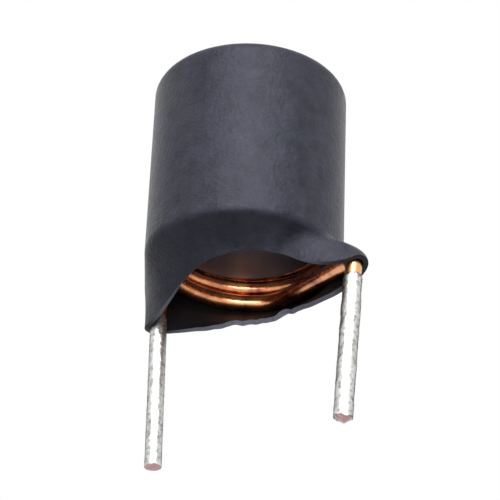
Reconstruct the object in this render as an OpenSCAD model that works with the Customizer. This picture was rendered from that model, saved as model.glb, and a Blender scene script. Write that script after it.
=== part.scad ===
// Wirewound radial inductor: a single layer coil on a ferrite rod, in a black shrink sleeve.
// Millimetres. Z is up, the two leads point down, both leads stand in one plane parallel to XZ.
// The origin lies on the coil axis at the face of the board that the part is soldered into.
// Heights of single features are counted from the sleeve's lower shoulder.

/* [Wire and coil] */
// diameter over the enamel
wire_d = 0.84; // [0.6:0.02:1.0]
// thickness of the enamel on one side
enamel_t = 0.03; // [0.02:0.01:0.05]
// whole turns of the coil, the part turn to the return wire comes on top
full_turns = 11; // [8:1:13]
// free space between two neighbouring turns
turn_gap = 0.002; // [0:0.001:0.05]
// height of the lowest turn's centre where the tail leaves it
coil_start_z = 0.11; // [0:0.01:0.3]
// direction in which the tail leaves the lowest turn
tail_angle = 97; // [85:1:110]
// bend radius of the wire in its elbows
bend_r = 0.6; // [0.5:0.05:0.9]
// bend radius of the wire where its tail leaves the coil
tail_bend_r = 1.67; // [1.4:0.01:1.7]
// free space between the coil and the return wire outside it
return_gap = 0.02; // [0.01:0.01:0.1]

/* [Leads] */
// distance of the plane of both leads from the coil axis
lead_plane_y = 0.16; // [0:0.02:0.4]
// how far the elbow stands out of the sleeve's side
elbow_out = 1.17; // [0.9:0.01:1.6]
// height of the elbow's corner
elbow_z = -1.3; // [-1.4:0.05:-1.1]
// how much nearer to the coil axis the right tip is than the elbow
right_tip_in = 0.48; // [0:0.01:1]
// height of the right tip
right_tip_z = -9.9; // [-14:0.1:-6]
// how far the left lead is set inwards of the return wire above it
left_set_in = 0.12; // [0:0.01:0.25]
// height at which the left lead is set inwards
left_set_z = -0.8; // [-1.2:0.1:-0.5]
// how much nearer to the coil axis the left tip is than that
left_tip_in = 0.24; // [0:0.01:0.6]
// height of the left tip
left_tip_z = -10.2; // [-14:0.1:-6]
// slant of the cut on the right tip
right_cut_slant = 28; // [0:1:40]
// direction towards which the right tip is longest
right_cut_turn = 120; // [0:5:355]

/* [Tin coats] */
// bare stretch of the right lead between its bend and the tin
bare_right = 0.34; // [0.05:0.01:0.6]
// thickness of the tin on the right lead
tin_right_t = 0.085; // [0.02:0.005:0.12]
// height where the tin of the left lead begins
tin_left_z = -1.7; // [-2.8:0.05:-1.3]
// thickness of the tin on the left lead
tin_left_t = 0.035; // [0.02:0.005:0.12]
// distance below the board's face from which the left tin thins out upwards
tin_left_thins = 0.06; // [0.02:0.01:0.5]
// thickness of the left tin at its upper end
tin_left_end_t = 0.012; // [0.008:0.002:0.02]
// free space between the copper and the tin
tin_gap = 0.004; // [0.002:0.001:0.01]

/* [Core] */
// depth of the core's lower face inside the coil
core_recess = 1.25; // [0.9:0.05:2]
// length of the ferrite rod
core_len = 8.3; // [5:0.1:8.6]
// free space between the rod and the coil
core_gap = 0.04; // [0.02:0.01:0.2]

/* [Sleeve] */
// height of the sleeve's lower shoulder above the board
shoulder_height = 2.6; // [2.6:0.05:4]
// outer diameter of the sleeve
body_d = 10; // [9:0.1:12]
// wall of the sleeve
wall = 0.25; // [0.15:0.01:0.3]
// free space between the coil and the sleeve
sleeve_gap = 0.05; // [0.03:0.01:0.1]
// free space above the top turn
top_gap = 0.03; // [0.02:0.01:0.1]
// radius of the rounded top edge
top_round = 0.55; // [0.3:0.05:0.7]
// radius of the open hole in the top
top_hole_r = 3.0; // [1.5:0.1:3.6]
// how far the lip dips at the hole
lip_dip = 0.22; // [0:0.02:0.25]
// length of the shrunk skirt below the shoulder
skirt_len = 2.38; // [2.25:0.01:2.6]
// extra length of the skirt at the left of the front
skirt_extra_left = 0.13; // [0:0.01:0.3]
// extra length of the skirt over the left lead
skirt_extra_corner = 0.1; // [0:0.01:0.3]
// extra length of the skirt at the elbow
skirt_extra_elbow = 0.4; // [0.3:0.01:0.6]
// missing length of the skirt in front of the elbow
skirt_short_front = 0.64; // [0:0.01:0.7]
// missing length of the skirt behind the elbow
skirt_short_back = 0.25; // [0:0.01:0.4]
// depth of the nick in the rim at the back
nick_depth = 0.15; // [0:0.01:0.2]
// half width of the mouth at the front
mouth_front = 2.9; // [2.6:0.05:3.6]
// half width of the mouth at the back
mouth_back = 3.3; // [2.6:0.05:3.8]
// how much lower the shoulder lies at the back
shoulder_drop = 0.19; // [0.18:0.01:0.3]
// softness of the shoulder
shoulder_soft = 0.45; // [0.3:0.05:0.6]
// how far the sleeve swells over the elbow
elbow_swell = 0.34; // [0.3:0.02:0.7]
// how far the skirt swells beside the tail
tail_swell = 1.08; // [1.0:0.01:1.3]
// how far the skirt is tucked in over the foot of the return wire
lead_tuck = 0.1; // [0:0.01:0.12]
// how far the skirt is tucked in and up below the front of the shoulder
front_tuck = 0.25; // [0:0.01:0.3]

/* [Hidden] */

wire_r = wire_d / 2;
copper_r = wire_r - enamel_t;
body_r = body_d / 2;
coil_r = body_r - wall - sleeve_gap - wire_r;
core_r = coil_r - wire_r - core_gap;
pitch = wire_d + turn_gap;
return_x = coil_r + wire_d + return_gap;
elbow_x = body_r + elbow_out;
right_tip_x = elbow_x - right_tip_in;
left_set_x = return_x - left_set_in;
left_tip_x = left_set_x - left_tip_in;
cover = wire_r + sleeve_gap + wall;
tin_right_z = elbow_z - bend_r - bare_right;
tin_right_r = copper_r + tin_right_t;
tin_left_r = copper_r + tin_left_t;

// the coil ends where the wire has swung out far enough to turn down outside it
jog_y = bend_r + lead_plane_y;
jog_r = norm([return_x, jog_y]);
jog_angle = 180 - atan2(jog_y, return_x);
return_angle = 180 - asin(lead_plane_y / return_x);
elbow_angle = asin(lead_plane_y / elbow_x);
swing = 52;
coil_sweep = full_turns * 360 + jog_angle - tail_angle;
coil_top_z = coil_start_z + coil_sweep / 360 * pitch;
core_top_z = core_recess + core_len;
body_top = max(coil_top_z + wire_r, core_top_z + lip_dip) + top_gap + wall;

function unit(v) = v / norm(v);
function at(r, a, z) = [r * cos(a), r * sin(a), z];
function mix(a, b, t) = a + (b - a) * t;
function ease(t) = let (c = min(1, max(0, t))) c * c * (3 - 2 * c);
function curve(a, b, c, t) = mix(mix(a, b, t), mix(b, c, t), t);

// the corner b between a and c, rounded with the centre radius r in n steps
function corner(a, b, c, r, n) =
    let (u = unit(a - b), v = unit(c - b), half = acos(u * v) / 2,
         p = b + u * r / tan(half), q = b + v * r / tan(half),
         centre = b + unit(u + v) * r / sin(half),
         e = unit(p - centre), f = unit(q - centre), turn = 180 - 2 * half)
    [for (i = [0 : n])
        centre + r / sin(turn) * (sin(turn * (1 - i / n)) * e + sin(turn * i / n) * f)];

// the wire's centre line, from the right tip over the coil to the left tip
right_tip = [right_tip_x, lead_plane_y, right_tip_z];
elbow = [elbow_x, lead_plane_y, elbow_z];
left_set = [-left_set_x, lead_plane_y, left_set_z];
left_tip = [-left_tip_x, lead_plane_y, left_tip_z];
return_top = [-return_x, lead_plane_y, coil_top_z];
return_low = [-return_x, lead_plane_y, 0.35];
function right_at(z) = mix(elbow, right_tip, (z - elbow_z) / (right_tip_z - elbow_z));
function left_at(z) = mix(left_set, left_tip, (z - left_set_z) / (left_tip_z - left_set_z));
right_dir = unit(right_tip - elbow);

steps_per_turn = 24;
coil_steps = ceil(coil_sweep / 360 * steps_per_turn);
function coil_radius(to_end) = mix(coil_r, jog_r, ease(1 - to_end / swing));
function coil_point(a) =
    at(coil_radius(coil_sweep - a), tail_angle + a, coil_start_z + a / 360 * pitch);
// the tail's bend takes up the first few degrees of the coil
tail_join = 10;
tail_start = at(coil_r / cos(tail_join), tail_angle, coil_start_z);

tin_start_right = right_at(tin_right_z);
tin_start_left = left_at(tin_left_z);
middle_path = concat(
    corner(tin_start_right, elbow, tail_start, bend_r, 6),
    [mix(elbow, tail_start, 0.5)],
    corner(elbow, tail_start, coil_point(tail_join), tail_bend_r, 4),
    [for (i = [1 : coil_steps - 1]) coil_point(coil_sweep * i / coil_steps)],
    corner(return_top + [0, 2, 0], return_top, return_low, bend_r, 6),
    [return_low, left_set]
);
wire_path = concat(
    [right_tip, tin_start_right, tin_start_right],
    middle_path,
    [tin_start_left, tin_start_left, left_tip]
);
wire_count = len(wire_path);
function wire_radius(i) = i < 2 || i > wire_count - 3 ? copper_r : wire_r;
wire_dirs = [for (i = [0 : wire_count - 1])
    unit(wire_path[min(i + 1, wire_count - 1)] - wire_path[max(i - 1, 0)])];
// one side direction per point, carried along the wire so that it does not twist
wire_sides = [for (i = 0, s = [0, 1, 0]; i < wire_count; i = i + 1,
    s = i < wire_count ? unit(s - (s * wire_dirs[i]) * wire_dirs[i]) : s) s];

// the cut of the right tip: longest on one side
right_side = unit(cross([0, 1, 0], -right_dir));
cut_toward = cos(right_cut_turn) * right_side + sin(right_cut_turn) * [0, 1, 0];
function tip_slip(i, off) = i == 0 ? right_dir * tan(right_cut_slant) * (off * cut_toward) : [0, 0, 0];

wire_edges = 10;
wire_points = [for (i = [0 : wire_count - 1]) for (k = [0 : wire_edges - 1])
    let (s = wire_sides[i], t = cross(wire_dirs[i], s), w = k * 360 / wire_edges,
         off = wire_radius(i) * (cos(w) * s + sin(w) * t))
    wire_path[i] + off + tip_slip(i, off)];
wire_faces = concat(
    [[for (k = [0 : wire_edges - 1]) k]],
    [for (i = [0 : wire_count - 2]) for (k = [0 : wire_edges - 1])
        let (a = i * wire_edges, b = a + wire_edges, m = (k + 1) % wire_edges)
        each [[a + k, b + k, b + m], [a + k, b + m, a + m]]],
    [[for (k = [wire_edges - 1 : -1 : 0]) (wire_count - 1) * wire_edges + k]]
);

module above_board() {
    translate([0, 0, shoulder_height]) children();
}

module winding_wire() {
    color("#c4601f") above_board() polyhedron(wire_points, wire_faces, convexity = 12);
}

// a tin coat lies round the bare copper, is open at the cut end and may thin out at its upper end
module coat(tip, lean, length, outer, thin_length = 0, thin_outer = 0) {
    translate(tip) rotate([0, lean, 0]) difference() {
        union() {
            cylinder(h = length - thin_length, r = outer, $fn = 48);
            if (thin_length > 0) translate([0, 0, length - thin_length])
                cylinder(h = thin_length, r1 = outer, r2 = thin_outer, $fn = 48);
        }
        translate([0, 0, -wire_r]) cylinder(h = length + wire_d, r = copper_r + tin_gap, $fn = 48);
    }
}
coat_end_gap = 0.002;
right_lean = atan2(elbow_x - right_tip_x, elbow_z - right_tip_z);
left_lean = atan2(left_tip_x - left_set_x, left_set_z - left_tip_z);
cut_reach = tin_right_r * tan(right_cut_slant);

module tin_coat_left() {
    length = norm(tin_start_left - left_tip);
    thin_length = norm(tin_start_left - left_at(-shoulder_height - tin_left_thins));
    color("#e9ebec") above_board() coat(left_tip, left_lean, length - coat_end_gap, tin_left_r,
        thin_length - coat_end_gap, copper_r + tin_left_end_t);
}

module tin_coat_right() {
    length = norm(tin_start_right - right_tip);
    color("#e9ebec") above_board() difference() {
        coat(right_tip + right_dir * cut_reach, right_lean, length + cut_reach - coat_end_gap,
            tin_right_r);
        translate(right_tip) rotate([0, right_lean, 0]) rotate([0, 0, right_cut_turn])
            rotate([0, right_cut_slant, 0]) translate([0, 0, -2 * wire_d])
                cube([6 * wire_d, 6 * wire_d, 4 * wire_d], center = true);
    }
}

module ferrite_core() {
    color("#45444a") above_board()
        translate([0, 0, core_recess]) cylinder(h = core_len, r = core_r, $fn = 96);
}

// the sleeve, seen from above: a circle drawn out round a smaller circle at one side
function drawn_out(a, w, c, b) =
    let (t = abs((a + 540) % 360 - 180), tangent = acos(min(1, max(-1, (w - b) / c))),
         touch = atan2(b * sin(tangent), c + b * cos(tangent)))
    c + b <= w ? w :
    t < touch ? c * cos(t) + sqrt(max(0, b * b - pow(c * sin(t), 2))) :
    t < tangent ? w / cos(tangent - t) : w;

function side_half(a) = mix(mouth_back, mouth_front, ease(0.5 - 0.7 * sin(a)));
lead_lean = 0.06;
elbow_slack = 0.02;
function mouth_r(a) = max(
    drawn_out(a - elbow_angle, side_half(a), elbow_x - elbow_slack, cover),
    drawn_out(a - return_angle, side_half(a), left_set_x - lead_lean, cover));
function shaft_r(a) = max(body_r, drawn_out(a - return_angle, body_r, return_x, cover));
function swing_r(a) =
    a < jog_angle - swing - 5 || a > return_angle ? 0 :
    cover + (a < jog_angle ? mix(coil_r, jog_r, ease((a + 5 - jog_angle + swing) / swing))
        : mix(jog_r, return_x, (a - jog_angle) / (return_angle - jog_angle)));
function top_r(a) = max(shaft_r(a), swing_r(a));

// one at the direction c, falling softly to nothing at spread degrees to each side
function toward(a, c, spread) = ease(1 - abs((a - c + 540) % 360 - 180) / spread);
left_turn = 245;
left_spread = 45;
corner_turn = 188;
corner_spread = 20;
elbow_spread = 18;
front_turn = 338;
front_spread = 46;
back_turn = 20;
back_spread = 30;
nick_turn = 79;
nick_spread = 12;
drop_turn = 115;
drop_spread = 110;
tail_turn = 14;
tail_spread = 20;
lead_turn = 180;
lead_spread = 30;
tuck_turn = 285;
tuck_spread = 85;
function skirt_reach(a) = skirt_len + skirt_extra_left * toward(a, left_turn, left_spread)
    + skirt_extra_corner * toward(a, corner_turn, corner_spread)
    + skirt_extra_elbow * toward(a, 0, elbow_spread)
    - skirt_short_front * toward(a, front_turn, front_spread)
    - skirt_short_back * toward(a, back_turn, back_spread)
    - nick_depth * toward(a, nick_turn, nick_spread);
function shoulder_z(a) = -shoulder_drop * toward(a, drop_turn, drop_spread);
function rim_z(a) = -sqrt(max(0.05, pow(skirt_reach(a), 2) - pow(shaft_r(a) - mouth_r(a), 2)));
function swell(a) = front_tuck * toward(a, tuck_turn, tuck_spread) * [-1, 1]
    - lead_tuck * toward(a, lead_turn, lead_spread) * [1, 0]
    + tail_swell * toward(a, tail_turn, tail_spread) * [1, 0]
    + (cos(a) < 0 ? 0 : elbow_swell) * ease((mouth_r(a) - body_r) / (elbow_x + cover - body_r))
    * [0.914, 0.406];
function skirt(a, t) =
    let (p = [shaft_r(a), shoulder_z(a)], q = [mouth_r(a), rim_z(a)])
    curve(p, (p + q) / 2 + swell(a), q, t);

bend_share = 0.2;
function profile(a) =
    let (r = top_r(a), s = shaft_r(a), z = shoulder_z(a), low = coil_top_z - wire_r,
         flat = body_top - top_round)
    concat(
        [[top_hole_r, body_top - lip_dip], [mix(top_hole_r, coil_r, 0.6), body_top - 0.3 * lip_dip]],
        [for (f = [0 : 30 : 90]) [r - top_round + top_round * sin(f), flat + top_round * cos(f)]],
        [[r, low - 0.05], [mix(s, r, 0.62), low - 0.5], [mix(s, r, 0.18), low - 1.0], [s, low - 1.5]],
        [for (f = [0 : 3]) curve([s, z + shoulder_soft], [s, z], skirt(a, bend_share), f / 3)],
        [for (f = [1 : 5]) skirt(a, mix(bend_share, 1, f / 5))]
    );

around = 62;
function turn_at(j) = let (u = j * 360 / around) u - 19 * sin(2 * u) + elbow_angle;
sleeve_outer = [for (j = [0 : around - 1])
    let (a = turn_at(j), p = profile(a)) [for (q = p) at(q[0], a, q[1])]];
rows = len(sleeve_outer[0]);
function sleeve_normal(j, i) =
    let (n = around, along = sleeve_outer[j][min(i + 1, rows - 1)] - sleeve_outer[j][max(i - 1, 0)],
         across = sleeve_outer[(j + 1) % n][i] - sleeve_outer[(j + n - 1) % n][i])
    unit(cross(across, along));
sleeve_points = concat(
    [for (j = [0 : around - 1]) each sleeve_outer[j]],
    [for (j = [0 : around - 1]) for (i = [0 : rows - 1])
        sleeve_outer[j][i] + wall * sleeve_normal(j, i)]
);
function outer_id(j, i) = (j % around) * rows + i;
function inner_id(j, i) = around * rows + (j % around) * rows + i;
sleeve_faces = concat(
    [for (j = [0 : around - 1]) for (i = [0 : rows - 2]) each [
        [outer_id(j, i), outer_id(j + 1, i + 1), outer_id(j, i + 1)],
        [outer_id(j, i), outer_id(j + 1, i), outer_id(j + 1, i + 1)],
        [inner_id(j, i), inner_id(j, i + 1), inner_id(j + 1, i + 1)],
        [inner_id(j, i), inner_id(j + 1, i + 1), inner_id(j + 1, i)]]],
    [for (j = [0 : around - 1]) each [
        [outer_id(j, rows - 1), inner_id(j + 1, rows - 1), inner_id(j, rows - 1)],
        [outer_id(j, rows - 1), outer_id(j + 1, rows - 1), inner_id(j + 1, rows - 1)],
        [outer_id(j, 0), inner_id(j, 0), inner_id(j + 1, 0)],
        [outer_id(j, 0), inner_id(j + 1, 0), outer_id(j + 1, 0)]]]
);

module sleeve() {
    color("#2c2d33") above_board() polyhedron(sleeve_points, sleeve_faces, convexity = 8);
}

ferrite_core();
winding_wire();
tin_coat_left();
tin_coat_right();
sleeve();
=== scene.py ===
import math

import bmesh
import bpy
from mathutils import Matrix, Vector, noise


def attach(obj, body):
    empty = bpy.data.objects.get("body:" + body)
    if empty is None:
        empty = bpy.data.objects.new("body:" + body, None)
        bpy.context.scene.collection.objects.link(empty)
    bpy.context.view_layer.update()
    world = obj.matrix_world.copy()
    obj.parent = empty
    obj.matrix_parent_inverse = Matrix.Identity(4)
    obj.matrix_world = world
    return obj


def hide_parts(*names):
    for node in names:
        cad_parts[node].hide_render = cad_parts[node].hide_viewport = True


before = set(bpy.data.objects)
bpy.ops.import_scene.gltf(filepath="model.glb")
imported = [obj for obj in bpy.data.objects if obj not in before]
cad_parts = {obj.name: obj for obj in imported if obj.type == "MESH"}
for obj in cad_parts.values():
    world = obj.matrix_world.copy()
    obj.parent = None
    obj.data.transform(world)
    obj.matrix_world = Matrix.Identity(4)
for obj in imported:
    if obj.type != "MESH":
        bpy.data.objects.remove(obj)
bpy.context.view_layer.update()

MM = 0.001

# Camera: low, in front and to the right of the part, looking up under its skirt
CAMERA_AZIMUTH = 31.14
CAMERA_ELEVATION = -31.0
CAMERA_ROLL = 2.39
CAMERA_DISTANCE = 110 * MM
CAMERA_TARGET = Vector((0.4269, -0.1555, 3.1889)) * MM
CAMERA_LENS = 157.97

# Wire and coil, in millimetres as in the part's source; heights count from the sleeve's shoulder
SHOULDER_HEIGHT = 2.6
WIRE_R = 0.42
ENAMEL_T = 0.03
COPPER_R = WIRE_R - ENAMEL_T
FULL_TURNS = 11
TURN_PITCH = 0.842
COIL_START_Z = 0.11
TAIL_ANGLE = 97
BEND_R = 0.6
RETURN_GAP = 0.02

# Leads
LEAD_PLANE_Y = 0.16
ELBOW_OUT = 1.17
ELBOW_Z = -1.3
RIGHT_TIP_IN = 0.48
RIGHT_TIP_Z = -9.9
LEFT_SET_IN = 0.12
LEFT_SET_Z = -0.8
LEFT_TIP_IN = 0.24
LEFT_TIP_Z = -10.2
RIGHT_CUT_SLANT = 27
RIGHT_CUT_TURN = 36
RIGHT_CUT_ASIDE = 0.1

# Tin coats
BARE_RIGHT = 0.34
TIN_RIGHT_T = 0.085
TIN_LEFT_Z = -1.7
TIN_LEFT_T = 0.035

# Core
CORE_RECESS = 1.25
CORE_LEN = 8.3
CORE_GAP = 0.04

# Sleeve
BODY_R = 5.0
WALL = 0.25
SLEEVE_GAP = 0.05
TOP_GAP = 0.03
TOP_ROUND = 0.55
TOP_HOLE_R = 3.0
LIP_DIP = 0.22
SKIRT_LEN = 2.38
SKIRT_EXTRA_LEFT = 0.13
SKIRT_EXTRA_CORNER = 0.1
SKIRT_EXTRA_ELBOW = 0.4
SKIRT_SHORT_FRONT = 0.64
SKIRT_SHORT_BACK = 0.25
NICK_DEPTH = 0.15
MOUTH_FRONT = 2.9
MOUTH_BACK = 3.3
MOUTH_WAIST = 0.1
SHOULDER_DROP = 0.19
SHOULDER_SOFT = 0.35
ELBOW_SWELL = 0.34
TAIL_SWELL = 1.08
LEAD_TUCK = 0.1
FRONT_TUCK = 0.28
SIDE_TUCK = 0.2
RAGGED_BACK = 0.08
ELBOW_SLACK = 0.02

# Worked out from the sizes above
COIL_R = BODY_R - WALL - SLEEVE_GAP - WIRE_R
CORE_R = COIL_R - WIRE_R - CORE_GAP
RETURN_X = COIL_R + 2 * WIRE_R + RETURN_GAP
ELBOW_X = BODY_R + ELBOW_OUT
RIGHT_TIP_X = ELBOW_X - RIGHT_TIP_IN
LEFT_SET_X = RETURN_X - LEFT_SET_IN
LEFT_TIP_X = LEFT_SET_X - LEFT_TIP_IN
COVER = WIRE_R + SLEEVE_GAP + WALL
TIN_RIGHT_Z = ELBOW_Z - BEND_R - BARE_RIGHT
JOG_Y = BEND_R + LEAD_PLANE_Y
JOG_R = math.hypot(RETURN_X, JOG_Y)
JOG_ANGLE = 180 - math.degrees(math.atan2(JOG_Y, RETURN_X))
RETURN_ANGLE = 180 - math.degrees(math.asin(LEAD_PLANE_Y / RETURN_X))
ELBOW_ANGLE = math.degrees(math.asin(LEAD_PLANE_Y / ELBOW_X))
SWING = 52
COIL_SWEEP = FULL_TURNS * 360 + JOG_ANGLE - TAIL_ANGLE
COIL_TOP_Z = COIL_START_Z + COIL_SWEEP / 360 * TURN_PITCH
BODY_TOP = COIL_TOP_Z + WIRE_R + TOP_GAP + WALL


def sin_deg(a):
    return math.sin(math.radians(a))


def cos_deg(a):
    return math.cos(math.radians(a))


def mix(a, b, t):
    return a + (b - a) * t


def ease(t):
    c = min(1, max(0, t))
    return c * c * (3 - 2 * c)


def curve(a, b, c, t):
    return mix(mix(a, b, t), mix(b, c, t), t)


def apart(a, b):
    """The angle between two directions, in degrees, from 0 to 180."""
    return abs((a - b + 540) % 360 - 180)


def toward(a, c, spread):
    """One at the direction c, falling softly to nothing at spread degrees to each side."""
    return ease(1 - apart(a, c) / spread)


# The wire's centre line

def ring_point(r, a, z):
    return Vector((r * cos_deg(a), r * sin_deg(a), z))


def corner(a, b, c, r, steps):
    """The corner b between a and c, rounded along an arc of centre radius r."""
    u = (a - b).normalized()
    v = (c - b).normalized()
    half = u.angle(v) / 2
    p = b + u * r / math.tan(half)
    q = b + v * r / math.tan(half)
    centre = b + (u + v).normalized() * r / math.sin(half)
    turn = math.pi - 2 * half
    e = (p - centre).normalized()
    f = (q - centre).normalized()
    points = []
    for i in range(steps + 1):
        t = turn * i / steps
        points.append(centre + r / math.sin(turn) * (math.sin(turn - t) * e + math.sin(t) * f))
    return points


RIGHT_TIP = Vector((RIGHT_TIP_X, LEAD_PLANE_Y, RIGHT_TIP_Z))
ELBOW = Vector((ELBOW_X, LEAD_PLANE_Y, ELBOW_Z))
LEFT_SET = Vector((-LEFT_SET_X, LEAD_PLANE_Y, LEFT_SET_Z))
LEFT_TIP = Vector((-LEFT_TIP_X, LEAD_PLANE_Y, LEFT_TIP_Z))
RETURN_TOP = Vector((-RETURN_X, LEAD_PLANE_Y, COIL_TOP_Z))
RETURN_LOW = Vector((-RETURN_X, LEAD_PLANE_Y, 0.35))
RIGHT_DIR = (RIGHT_TIP - ELBOW).normalized()


def right_at(z):
    return mix(ELBOW, RIGHT_TIP, (z - ELBOW_Z) / (RIGHT_TIP_Z - ELBOW_Z))


def left_at(z):
    return mix(LEFT_SET, LEFT_TIP, (z - LEFT_SET_Z) / (LEFT_TIP_Z - LEFT_SET_Z))


def coil_radius(to_end):
    return mix(COIL_R, JOG_R, ease(1 - to_end / SWING))


def coil_point(a):
    return ring_point(coil_radius(COIL_SWEEP - a), TAIL_ANGLE + a, COIL_START_Z + a / 360 * TURN_PITCH)


TAIL_JOIN = 10
TAIL_BEND_R = 1.67
TAIL_START = ring_point(COIL_R / cos_deg(TAIL_JOIN), TAIL_ANGLE, COIL_START_Z)
TIN_START_RIGHT = right_at(TIN_RIGHT_Z)
TIN_START_LEFT = left_at(TIN_LEFT_Z)
STEPS_PER_TURN = 72


def wire_path():
    """Points from the right tip over the elbow, the tail and the coil down to the left tip."""
    steps = math.ceil(COIL_SWEEP / 360 * STEPS_PER_TURN)
    points = [RIGHT_TIP, TIN_START_RIGHT]
    points += corner(TIN_START_RIGHT, ELBOW, TAIL_START, BEND_R, 18)
    points += [mix(ELBOW, TAIL_START, t / 4) for t in (1, 2, 3)]
    points += corner(ELBOW, TAIL_START, coil_point(TAIL_JOIN), TAIL_BEND_R, 12)
    points += [coil_point(COIL_SWEEP * i / steps) for i in range(3, steps)]
    points += corner(RETURN_TOP + Vector((0, 2, 0)), RETURN_TOP, RETURN_LOW, BEND_R, 14)
    points += [RETURN_LOW, mix(RETURN_LOW, LEFT_SET, 0.5), LEFT_SET, TIN_START_LEFT, LEFT_TIP]
    return [p + Vector((0, 0, SHOULDER_HEIGHT)) for p in points]


# The sleeve, seen from above: a circle drawn out round a smaller circle at one side

def drawn_out(a, w, c, b):
    if c + b <= w:
        return w
    t = apart(a, 0)
    tangent = math.degrees(math.acos(min(1, max(-1, (w - b) / c))))
    touch = math.degrees(math.atan2(b * sin_deg(tangent), c + b * cos_deg(tangent)))
    if t < touch:
        return c * cos_deg(t) + math.sqrt(max(0, b * b - (c * sin_deg(t)) ** 2))
    if t < tangent:
        return w / cos_deg(tangent - t)
    return w


def side_half(a):
    return mix(MOUTH_BACK, MOUTH_FRONT, ease(0.5 - 0.7 * sin_deg(a)))


def mouth_r(a):
    elbow = drawn_out(a - ELBOW_ANGLE, side_half(a), ELBOW_X - ELBOW_SLACK, COVER)
    lead = drawn_out(a - RETURN_ANGLE, side_half(a), LEFT_SET_X - 0.06, COVER)
    return max(elbow, lead) * (1 - MOUTH_WAIST * toward(a, 336, 17))


def shaft_r(a):
    return max(BODY_R, drawn_out(a - RETURN_ANGLE, BODY_R, RETURN_X, COVER))


def swing_r(a):
    a = a % 360
    if a < JOG_ANGLE - SWING - 5 or a > RETURN_ANGLE:
        return 0
    if a < JOG_ANGLE:
        return COVER + mix(COIL_R, JOG_R, ease((a + 5 - JOG_ANGLE + SWING) / SWING))
    return COVER + mix(JOG_R, RETURN_X, (a - JOG_ANGLE) / (RETURN_ANGLE - JOG_ANGLE))


def top_r(a):
    return max(shaft_r(a), swing_r(a))


def hand_cut(a):
    """How far the rim wanders from its mean line, as scissors leave it."""
    longer = 0.07 * (toward(a, 232, 18) + toward(a, 319, 15) + toward(a, 138, 25)) + 0.13 * toward(a, 330, 11)
    ragged = RAGGED_BACK * noise.noise(ring_point(7, a, 0)) * toward(a, 110, 75)
    return longer + ragged - 0.045 * toward(a, 294, 13) - 0.05 * toward(a, 343, 9) - 0.16 * toward(a, 352, 12)


def skirt_reach(a):
    longer = SKIRT_EXTRA_LEFT * toward(a, 245, 45) + SKIRT_EXTRA_CORNER * toward(a, 188, 20)
    longer += SKIRT_EXTRA_ELBOW * toward(a, 0, 18)
    shorter = SKIRT_SHORT_FRONT * toward(a, 338, 46) + SKIRT_SHORT_BACK * toward(a, 20, 30)
    return SKIRT_LEN + longer - shorter - NICK_DEPTH * toward(a, 79, 12) + hand_cut(a)


def shoulder_z(a):
    return -SHOULDER_DROP * toward(a, 115, 110)


def rim_z(a):
    return -math.sqrt(max(0.05, skirt_reach(a) ** 2 - (shaft_r(a) - mouth_r(a)) ** 2))


def swell(a):
    """How far the middle of the skirt stands out of, or up from, a straight slope."""
    out = TAIL_SWELL * toward(a, 14, 20) - LEAD_TUCK * toward(a, 180, 30)
    tuck = FRONT_TUCK * toward(a, 290, 75) + SIDE_TUCK * toward(a, 340, 22)
    bent = tuck * Vector((-1, 1)) + Vector((out, 0))
    if cos_deg(a) < 0:
        return bent
    return bent + ELBOW_SWELL * ease((mouth_r(a) - BODY_R) / (ELBOW_X + COVER - BODY_R)) * Vector((0.914, 0.406))


def skirt(a, t):
    p = Vector((shaft_r(a), shoulder_z(a)))
    q = Vector((mouth_r(a), rim_z(a)))
    return curve(p, (p + q) / 2 + swell(a), q, t)


BEND_SHARE = 0.16
LIP_ROWS = 3
ARC_ROWS = 8
WALL_ROWS = 26
BEND_ROWS = 8
SKIRT_ROWS = 26


def profile(a):
    """The sleeve's outer face at the direction a, from the lip of the hole to the skirt's rim."""
    r = top_r(a)
    s = shaft_r(a)
    z = shoulder_z(a)
    flat = BODY_TOP - TOP_ROUND
    low = COIL_TOP_Z - WIRE_R
    points = []
    for i in range(LIP_ROWS):
        points.append(Vector((mix(TOP_HOLE_R, r - TOP_ROUND, i / LIP_ROWS),
                              BODY_TOP - LIP_DIP * (1 - i / LIP_ROWS) ** 2)))
    for i in range(ARC_ROWS + 1):
        f = 90 * i / ARC_ROWS
        points.append(Vector((r - TOP_ROUND + TOP_ROUND * sin_deg(f), flat + TOP_ROUND * cos_deg(f))))
    for i in range(1, WALL_ROWS + 1):
        height = mix(flat, z + SHOULDER_SOFT, i / WALL_ROWS)
        points.append(Vector((mix(s, r, ease((height - low + 1.4) / 1.3)), height)))
    for i in range(1, BEND_ROWS + 1):
        points.append(curve(Vector((s, z + SHOULDER_SOFT)), Vector((s, z)), skirt(a, BEND_SHARE), i / BEND_ROWS))
    for i in range(1, SKIRT_ROWS + 1):
        points.append(skirt(a, mix(BEND_SHARE, 1, i / SKIRT_ROWS)))
    return points


# Making meshes

def sharpen(faces):
    """Keeps the outline of a flat patch crisp in the smooth shading."""
    patch = set(faces)
    for edge in {e for f in patch for e in f.edges}:
        edge.smooth = all(f in patch for f in edge.link_faces)


def finish_piece(bm, name, body_node, materials):
    """Turns a bmesh in millimetres into a smooth object in metres that stands for a CAD node."""
    bmesh.ops.scale(bm, vec=(MM, MM, MM), verts=bm.verts)
    mesh = bpy.data.meshes.new(name)
    bm.to_mesh(mesh)
    bm.free()
    for material in materials:
        mesh.materials.append(material)
    mesh.polygons.foreach_set("use_smooth", [True] * len(mesh.polygons))
    piece = bpy.data.objects.new(name, mesh)
    bpy.context.scene.collection.objects.link(piece)
    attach(piece, "root")
    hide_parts(body_node)
    return piece


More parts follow.
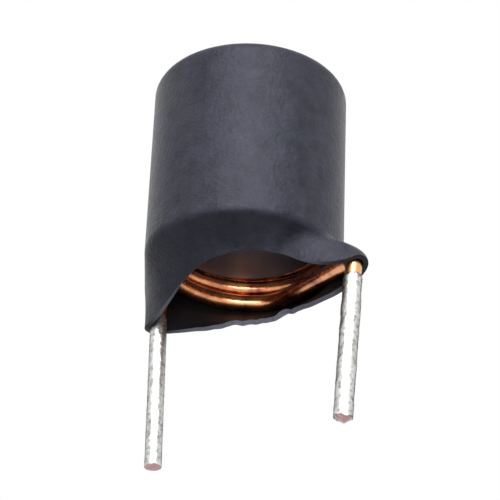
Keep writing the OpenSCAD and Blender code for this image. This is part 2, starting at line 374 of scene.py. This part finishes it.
def frames_along(points):
    """A matrix at each point, its Z along the path, carried along so that it does not twist."""
    frames = []
    side = Vector((0, 1, 0))
    for i, p in enumerate(points):
        ahead = points[min(i + 1, len(points) - 1)]
        behind = points[max(i - 1, 0)]
        z = (ahead - behind).normalized()
        side = (side - side.dot(z) * z).normalized()
        frames.append(Matrix.Translation(p) @ Matrix((side, z.cross(side), z)).transposed().to_4x4())
    return frames


def sweep(bm, points, radii, sides):
    """Extrudes a ring of the given sides along the points; both ends stay open."""
    frames = frames_along(points)
    first = frames[0] @ Matrix.Diagonal((radii[0], radii[0], 1, 1))
    ring = bmesh.ops.create_circle(bm, segments=sides, radius=1, matrix=first)["verts"]
    edges = list({e for v in ring for e in v.link_edges})
    for i in range(1, len(frames)):
        made = bmesh.ops.extrude_edge_only(bm, edges=edges)["geom"]
        ring = [g for g in made if isinstance(g, bmesh.types.BMVert)]
        edges = [g for g in made if isinstance(g, bmesh.types.BMEdge) and g.is_boundary]
        grow = radii[i] / radii[i - 1]
        step = frames[i] @ Matrix.Diagonal((grow, grow, 1, 1)) @ frames[i - 1].inverted()
        bmesh.ops.transform(bm, matrix=step, verts=ring)


def wedge_tip(bm, tip, along, reach):
    """Moves the vertices at the tip onto the two slanting faces that side cutters leave."""
    side = Vector((0, 1, 0)).cross(-along).normalized()
    across = cos_deg(RIGHT_CUT_TURN) * side + sin_deg(RIGHT_CUT_TURN) * Vector((0, 1, 0))
    near = [v for v in bm.verts if (v.co - tip).length < reach and abs((v.co - tip).dot(along)) < 0.01]
    for v in near:
        aside = abs((v.co - tip).dot(across) - RIGHT_CUT_ASIDE)
        v.co -= along * aside * math.tan(math.radians(RIGHT_CUT_SLANT))


# Materials

def linear(code):
    """An sRGB hex colour as the linear colour that the shaders take."""
    parts = [int(code[i:i + 2], 16) / 255 for i in (1, 3, 5)]
    return tuple(c / 12.92 if c <= 0.04045 else ((c + 0.055) / 1.055) ** 2.4 for c in parts) + (1,)


def add(tree, kind, sockets=None, **settings):
    """Adds a node with its settings; a socket takes a value or another node's output."""
    made = tree.nodes.new("ShaderNode" + kind)
    for name, value in settings.items():
        setattr(made, name, value)
    for key, value in (sockets or {}).items():
        if isinstance(value, bpy.types.NodeSocket):
            tree.links.new(value, made.inputs[key])
        else:
            made.inputs[key].default_value = value
    return made


def new_material(name):
    material = bpy.data.materials.new(name)
    material.use_nodes = True
    material.node_tree.nodes.clear()
    return material, material.node_tree


def surface(tree, sockets, bump=None):
    """The Principled shader, with its output and an optional bump."""
    shader = add(tree, "BsdfPrincipled", sockets)
    if bump:
        tree.links.new(bump.outputs[0], shader.inputs["Normal"])
    add(tree, "OutputMaterial", {"Surface": shader.outputs[0]})


def object_pattern(tree, kind, per_mm, sockets=None, **settings):
    """A pattern on Object coordinates whose scale is given in cells for each millimetre."""
    place = add(tree, "TexCoord")
    values = {"Vector": place.outputs["Object"], "Scale": per_mm / MM}
    values.update(sockets or {})
    return add(tree, kind, values, **settings)


def shrunk_tubing():
    """Polyolefin tubing shrunk with hot air: satin, with the fine leathery grain that it gets."""
    material, tree = new_material("shrunk_tubing")
    blotch = object_pattern(tree, "TexNoise", 1.1, {"Detail": 6, "Roughness": 0.75})
    worn = add(tree, "MapRange", {"Value": blotch.outputs[0], "From Min": 0.32, "From Max": 0.68})
    colour = add(tree, "Mix", {0: worn.outputs[0], 6: linear("#1e1f26"), 7: linear("#30313a")},
                 data_type="RGBA")
    grain = object_pattern(tree, "TexNoise", 3.8, {"Detail": 5, "Roughness": 0.75})
    pebbles = object_pattern(tree, "TexVoronoi", 5.5, {"Randomness": 1})
    height = add(tree, "Math", {0: pebbles.outputs[0], 1: 0.25, 2: grain.outputs[0]}, operation="MULTIPLY_ADD")
    bump = add(tree, "Bump", {"Strength": 0.75, "Distance": 0.065 * MM, "Height": height.outputs[0]})
    rough = add(tree, "MapRange", {"Value": grain.outputs[0], "To Min": 0.28, "To Max": 0.48})
    surface(tree, {"Base Color": colour.outputs[2], "Roughness": rough.outputs[0],
                   "Specular IOR Level": 0.14, "Specular Tint": linear("#eceeff"),
                   "Sheen Weight": 0.1, "Sheen Roughness": 0.25}, bump)
    return material


def tubing_inside_painted_shade():
    """The inner face of the tubing: smoother than the skin, faintly streaked along, and coloured blacker than the
    skin as painted shade inside the sleeve.
    """
    material, tree = new_material("tubing_inside_painted_shade")
    streaks = object_pattern(tree, "TexNoise", 1.5, {"Detail": 4})
    # painted shade: these near-black greys darken the inside of the sleeve
    colour = add(tree, "Mix", {0: streaks.outputs[0], 6: linear("#101013"), 7: linear("#1d1c20")},
                 data_type="RGBA")
    bump = add(tree, "Bump", {"Strength": 0.3, "Distance": 0.05 * MM, "Height": streaks.outputs[0]})
    surface(tree, {"Base Color": colour.outputs[2], "Roughness": 0.5, "Specular IOR Level": 0.12}, bump)
    return material


def cut_tubing():
    """The cut end face of the tubing, matte; its colour is painted light: paler than the skin as a painted highlight
    along the rim, and painted black shade beside the leads.
    """
    material, tree = new_material("cut_tubing")
    nicks = object_pattern(tree, "TexNoise", 3, {"Detail": 4, "Roughness": 0.7})
    # painted highlight: these pale greys, far paler than the skin, stand in for the light along the rim's edge
    colour = add(tree, "Mix", {0: nicks.outputs[0], 6: linear("#484952"), 7: linear("#7c7d8c")},
                 data_type="RGBA")
    place = add(tree, "TexCoord")
    across = add(tree, "SeparateXYZ", {0: place.outputs["Object"]})
    out = add(tree, "Math", {0: across.outputs["X"]}, operation="ABSOLUTE")
    # painted shade: from 4.1 to 5.2 mm out from the axis, beside the leads, the end face is coloured black where it
    # turns down
    painted_shade_near_leads = add(tree, "MapRange", {"Value": out.outputs[0], "From Min": 4.1 * MM, "From Max": 5.2 * MM})
    edge = add(tree, "Mix", {0: painted_shade_near_leads.outputs[0], 6: colour.outputs[2], 7: linear("#0b0b0e")},
               data_type="RGBA")
    bump = add(tree, "Bump", {"Strength": 0.5, "Distance": 0.05 * MM, "Height": nicks.outputs[0]})
    surface(tree, {"Base Color": edge.outputs[2], "Roughness": 0.6, "Specular IOR Level": 0.3}, bump)
    return material


def enamelled_copper():
    """Magnet wire: copper under clear amber enamel, paler and golden where the solder heat reached."""
    material, tree = new_material("enamelled_copper")
    blotch = object_pattern(tree, "TexNoise", 0.9, {"Detail": 3})
    tone = add(tree, "MapRange", {"Value": blotch.outputs[0], "From Min": 0.36, "From Max": 0.56})
    colour = add(tree, "Mix", {0: tone.outputs[0], 6: linear("#8c3710"), 7: linear("#ec9a5e")},
                 data_type="RGBA")
    place = add(tree, "TexCoord")
    across = add(tree, "SeparateXYZ", {0: place.outputs["Object"]})
    heated = add(tree, "MapRange", {"Value": across.outputs["X"], "From Min": 5.35 * MM,
                                    "From Max": 5.85 * MM})
    golden = add(tree, "Mix", {0: heated.outputs[0], 6: colour.outputs[2], 7: linear("#e9ac66")},
                 data_type="RGBA")
    wear = object_pattern(tree, "TexNoise", 6, {"Detail": 3})
    rough = add(tree, "MapRange", {"Value": wear.outputs[0], "To Min": 0.22, "To Max": 0.36})
    dents = object_pattern(tree, "TexNoise", 1.6, {"Detail": 2})
    bump = add(tree, "Bump", {"Strength": 0.35, "Distance": 0.08 * MM, "Height": dents.outputs[0]})
    surface(tree, {"Base Color": golden.outputs[2], "Metallic": 1, "Roughness": rough.outputs[0],
                   "Coat Weight": 1, "Coat Roughness": 0.2, "Coat IOR": 1.6}, bump)
    return material


def dipped_solder():
    """Solder left by dipping: bright and lumpy, with dull grey pits between the lumps, partly dull oxide and partly
    painted shade in the hollows.
    """
    material, tree = new_material("dipped_solder")
    lumps = object_pattern(tree, "TexNoise", 4.2, {"Detail": 5, "Roughness": 0.7})
    # partly painted shade: the low spots of the lumps are coloured dull grey, partly as the dull oxide of the pits
    # and partly as shade in the hollows
    bright = add(tree, "MapRange", {"Value": lumps.outputs[0], "From Min": 0.33, "From Max": 0.54})
    colour = add(tree, "Mix", {0: bright.outputs[0], 6: linear("#82807b"), 7: linear("#e2e2e0")},
                 data_type="RGBA")
    bump = add(tree, "Bump", {"Strength": 0.7, "Distance": 0.06 * MM, "Height": lumps.outputs[0]})
    surface(tree, {"Base Color": colour.outputs[2], "Metallic": 1, "Roughness": 0.28,
                   "Specular Tint": linear("#000000")}, bump)
    return material


def cut_copper():
    """Copper where the cutter sheared the lead: dull and pinkish, smeared with solder."""
    material, tree = new_material("cut_copper")
    marks = object_pattern(tree, "TexNoise", 4, {"Detail": 3})
    colour = add(tree, "Mix", {0: marks.outputs[0], 6: linear("#a8706e"), 7: linear("#d9b9ba")},
                 data_type="RGBA")
    bump = add(tree, "Bump", {"Strength": 0.5, "Distance": 0.04 * MM, "Height": marks.outputs[0]})
    surface(tree, {"Base Color": colour.outputs[2], "Metallic": 1, "Roughness": 0.45}, bump)
    return material


def ground_ferrite():
    """Sintered ferrite with a ground end face: dark grey, satin and finely speckled."""
    material, tree = new_material("ground_ferrite")
    specks = object_pattern(tree, "TexNoise", 7, {"Detail": 5, "Roughness": 0.7})
    colour = add(tree, "Mix", {0: specks.outputs[0], 6: linear("#3a3f4b"), 7: linear("#565c6b")},
                 data_type="RGBA")
    bump = add(tree, "Bump", {"Strength": 0.15, "Distance": 0.02 * MM, "Height": specks.outputs[0]})
    surface(tree, {"Base Color": colour.outputs[2], "Roughness": 0.4, "IOR": 1.7}, bump)
    return material


def shown_plainly(tree):
    """One for a ray that shows things as they are: to the camera, from a mirror or through glass."""
    ray = add(tree, "LightPath")
    either = add(tree, "Math", {0: ray.outputs["Is Camera Ray"], 1: ray.outputs["Is Glossy Ray"]},
                 operation="MAXIMUM")
    return add(tree, "Math", {0: either.outputs[0], 1: ray.outputs["Is Transmission Ray"]},
               operation="MAXIMUM").outputs[0]


def pale_floor():
    """A plain pale floor that keeps the part's shadow and throws little light up at it."""
    material, tree = new_material("pale_floor")
    dull = add(tree, "BsdfDiffuse", {"Color": linear("#606060")})
    lit = add(tree, "BsdfDiffuse", {"Color": linear("#ffffff")})
    white = add(tree, "Emission", {"Color": (1, 1, 1, 1), "Strength": 1})
    bright = add(tree, "MixShader", {0: 0.92, 1: lit.outputs[0], 2: white.outputs[0]})
    both = add(tree, "MixShader", {0: shown_plainly(tree), 1: dull.outputs[0], 2: bright.outputs[0]})
    add(tree, "OutputMaterial", {"Surface": both.outputs[0]})
    return material


TUBING = shrunk_tubing()
INSIDE_PAINTED_SHADE = tubing_inside_painted_shade()
CUT_EDGE = cut_tubing()
COPPER = enamelled_copper()
SOLDER = dipped_solder()
CUT = cut_copper()
FERRITE = ground_ferrite()

# The pieces

AROUND = 300


def make_sleeve():
    """A line spun into a tube, its vertices then set on the shrunk shape, and given its wall."""
    rows = len(profile(0))
    bm = bmesh.new()
    line = [bm.verts.new((1, 0, i)) for i in range(rows)]
    edges = [bm.edges.new(pair) for pair in zip(line, line[1:])]
    bmesh.ops.spin(bm, geom=line + edges, cent=(0, 0, 0), axis=(0, 0, 1), angle=2 * math.pi,
                   steps=AROUND, use_merge=True)
    profiles = {}
    for v in bm.verts:
        u = round(math.degrees(math.atan2(v.co.y, v.co.x)) * AROUND / 360) * 360 / AROUND
        a = (u - 19 * sin_deg(2 * u) + ELBOW_ANGLE) % 360
        if u not in profiles:
            profiles[u] = profile(a)
        r, z = profiles[u][round(v.co.z)]
        v.co = ring_point(r, a, z + SHOULDER_HEIGHT)
    bmesh.ops.remove_doubles(bm, verts=bm.verts, dist=0.0001)
    bmesh.ops.recalc_face_normals(bm, faces=bm.faces)
    skin = set(bm.verts)
    bmesh.ops.solidify(bm, geom=bm.faces[:], thickness=WALL)
    for face in bm.faces:
        on_skin = sum(v in skin for v in face.verts)
        # material index 2, the inside, takes the painted-shade material
        face.material_index = 2 if on_skin == 0 else 0 if on_skin == len(face.verts) else 1
    sharpen(f for f in bm.faces if f.material_index == 1)
    sleeve = finish_piece(bm, "shrunk_sleeve", "sleeve", [TUBING, CUT_EDGE, INSIDE_PAINTED_SHADE])
    return sleeve


def make_wire():
    points = wire_path()
    last = len(points) - 1
    radii = [COPPER_R if i < 2 or i > last - 2 else WIRE_R for i in range(last + 1)]
    bm = bmesh.new()
    sweep(bm, points, radii, 24)
    wedge_tip(bm, points[0], RIGHT_DIR, 2 * WIRE_R)
    ends = bmesh.ops.holes_fill(bm, edges=[e for e in bm.edges if e.is_boundary], sides=24)["faces"]
    cut = bmesh.ops.poke(bm, faces=ends)["faces"]
    wedge_tip(bm, points[0], RIGHT_DIR, 0.01)
    for face in cut:
        face.material_index = 1
    sharpen(cut)
    bmesh.ops.recalc_face_normals(bm, faces=bm.faces)
    wire = finish_piece(bm, "coil_and_leads", "winding_wire", [COPPER, CUT])
    return wire


def make_coat(name, node, tip, start, outer, seed):
    """A tube of solder with lumps frozen in it, closed round the copper at both ends."""
    steps = 90
    up = Vector((0, 0, SHOULDER_HEIGHT))
    bare = COPPER_R + 0.004
    shares = [-0.0002] + [i / steps for i in range(steps + 1)] + [1.0002]
    points = [mix(tip, start, share) + up for share in shares]
    radii = [bare] + [outer] * (steps - 1) + [mix(bare, outer, 0.75), mix(bare, outer, 0.4)] + [bare]
    bm = bmesh.new()
    sweep(bm, points, radii, 48)
    for v in bm.verts:
        axis = mix(tip, start, min(1, max(0, (v.co - up - tip).dot(start - tip) / (start - tip).length_squared))) + up
        off = v.co - axis
        if off.length > bare + 0.001:
            lump = noise.noise((v.co + Vector((seed, 0, 0))) * 1.7) + 0.5 * noise.noise(v.co * 4.5)
            v.co += off.normalized() * lump * 0.35 * (outer - bare)
    if name == "solder_right":
        wedge_tip(bm, tip + up, RIGHT_DIR, 2 * WIRE_R)
    bmesh.ops.bridge_loops(bm, edges=[e for e in bm.edges if e.is_boundary])
    bmesh.ops.recalc_face_normals(bm, faces=bm.faces)
    coat = finish_piece(bm, name, node, [SOLDER])
    return coat


def make_core():
    bm = bmesh.new()
    middle = SHOULDER_HEIGHT + CORE_RECESS + CORE_LEN / 2
    bmesh.ops.create_cone(bm, cap_ends=True, segments=128, radius1=CORE_R, radius2=CORE_R,
                          depth=CORE_LEN, matrix=Matrix.Translation((0, 0, middle)))
    rims = [e for e in bm.edges if abs(e.verts[0].co.z - e.verts[1].co.z) < 0.001]
    bmesh.ops.bevel(bm, geom=rims, offset=0.15, affect="EDGES", segments=3, profile=0.5, material=-1)
    sharpen(f for f in bm.faces if abs(f.normal.z) > 0.99)
    core = finish_piece(bm, "ferrite_rod", "ferrite_core", [FERRITE])
    return core


make_sleeve()
make_wire()
make_coat("solder_left", "tin_coat_left", LEFT_TIP, TIN_START_LEFT, COPPER_R + TIN_LEFT_T, 3)
make_coat("solder_right", "tin_coat_right", RIGHT_TIP, TIN_START_RIGHT, COPPER_R + TIN_RIGHT_T, 8)
make_core()


# Studio

def make_camera():
    azimuth = math.radians(CAMERA_AZIMUTH)
    elevation = math.radians(CAMERA_ELEVATION)
    back = Vector((math.sin(azimuth) * math.cos(elevation),
                   -math.cos(azimuth) * math.cos(elevation), math.sin(elevation)))
    right = Vector((math.cos(azimuth), math.sin(azimuth), 0))
    roll = Matrix.Rotation(math.radians(CAMERA_ROLL), 4, "Z")
    turned = Matrix((right, back.cross(right), back)).transposed().to_4x4() @ roll
    data = bpy.data.cameras.new("camera")
    data.sensor_width = 36
    data.lens = CAMERA_LENS
    data.clip_start = 0.001
    camera = bpy.data.objects.new("camera", data)
    camera.matrix_world = Matrix.Translation(CAMERA_TARGET + back * CAMERA_DISTANCE) @ turned
    bpy.context.scene.collection.objects.link(camera)
    bpy.context.scene.camera = camera


def from_part(azimuth, elevation):
    """The direction from the part to a place; azimuth 0 is in front, 90 at the right."""
    a = math.radians(azimuth)
    e = math.radians(elevation)
    return Vector((math.sin(a) * math.cos(e), -math.cos(a) * math.cos(e), math.sin(e)))


def make_world():
    """A plain white backdrop all round; its light on the part comes mostly from above and in front."""
    world = bpy.data.worlds.new("studio")
    bpy.context.scene.world = world
    world.use_nodes = True
    tree = world.node_tree
    tree.nodes.clear()
    place = add(tree, "TexCoord")
    facing = add(tree, "VectorMath", {0: place.outputs["Generated"], 1: from_part(31, 55)},
                 operation="DOT_PRODUCT")
    strength = add(tree, "MapRange", {"Value": facing.outputs["Value"], "From Min": -0.6, "From Max": 0.9,
                                      "To Min": 0.05, "To Max": 0.32})
    white = add(tree, "Background", {"Color": (1, 1, 1, 1), "Strength": 1})
    room = add(tree, "Background", {"Color": linear("#f4f5ff"), "Strength": strength.outputs[0]})
    both = add(tree, "MixShader", {0: shown_plainly(tree), 1: room.outputs[0], 2: white.outputs[0]})
    add(tree, "OutputWorld", {"Surface": both.outputs[0]})


def make_lamp(name, azimuth, elevation, distance, size, watts):
    """A square softbox that faces the part."""
    away = from_part(azimuth, elevation)
    data = bpy.data.lights.new(name, "AREA")
    data.shape = "SQUARE"
    data.size = size
    data.energy = watts
    lamp = bpy.data.objects.new(name, data)
    turned = away.to_track_quat("Z", "Y").to_matrix().to_4x4()
    lamp.matrix_world = Matrix.Translation(CAMERA_TARGET + away * distance) @ turned
    bpy.context.scene.collection.objects.link(lamp)


def make_floor():
    bm = bmesh.new()
    bmesh.ops.create_grid(bm, x_segments=1, y_segments=1, size=1.5,
                          matrix=Matrix.Translation((0, 0, -0.14)))
    mesh = bpy.data.meshes.new("floor")
    bm.to_mesh(mesh)
    bm.free()
    mesh.materials.append(pale_floor())
    floor = bpy.data.objects.new("floor", mesh)
    bpy.context.scene.collection.objects.link(floor)


make_camera()
make_world()
make_floor()
make_lamp("key", 31, 34, 0.30, 0.16, 1.5)
make_lamp("low_front", 28, -20, 0.30, 0.2, 1.05)
bpy.context.scene.view_settings.view_transform = "Standard"
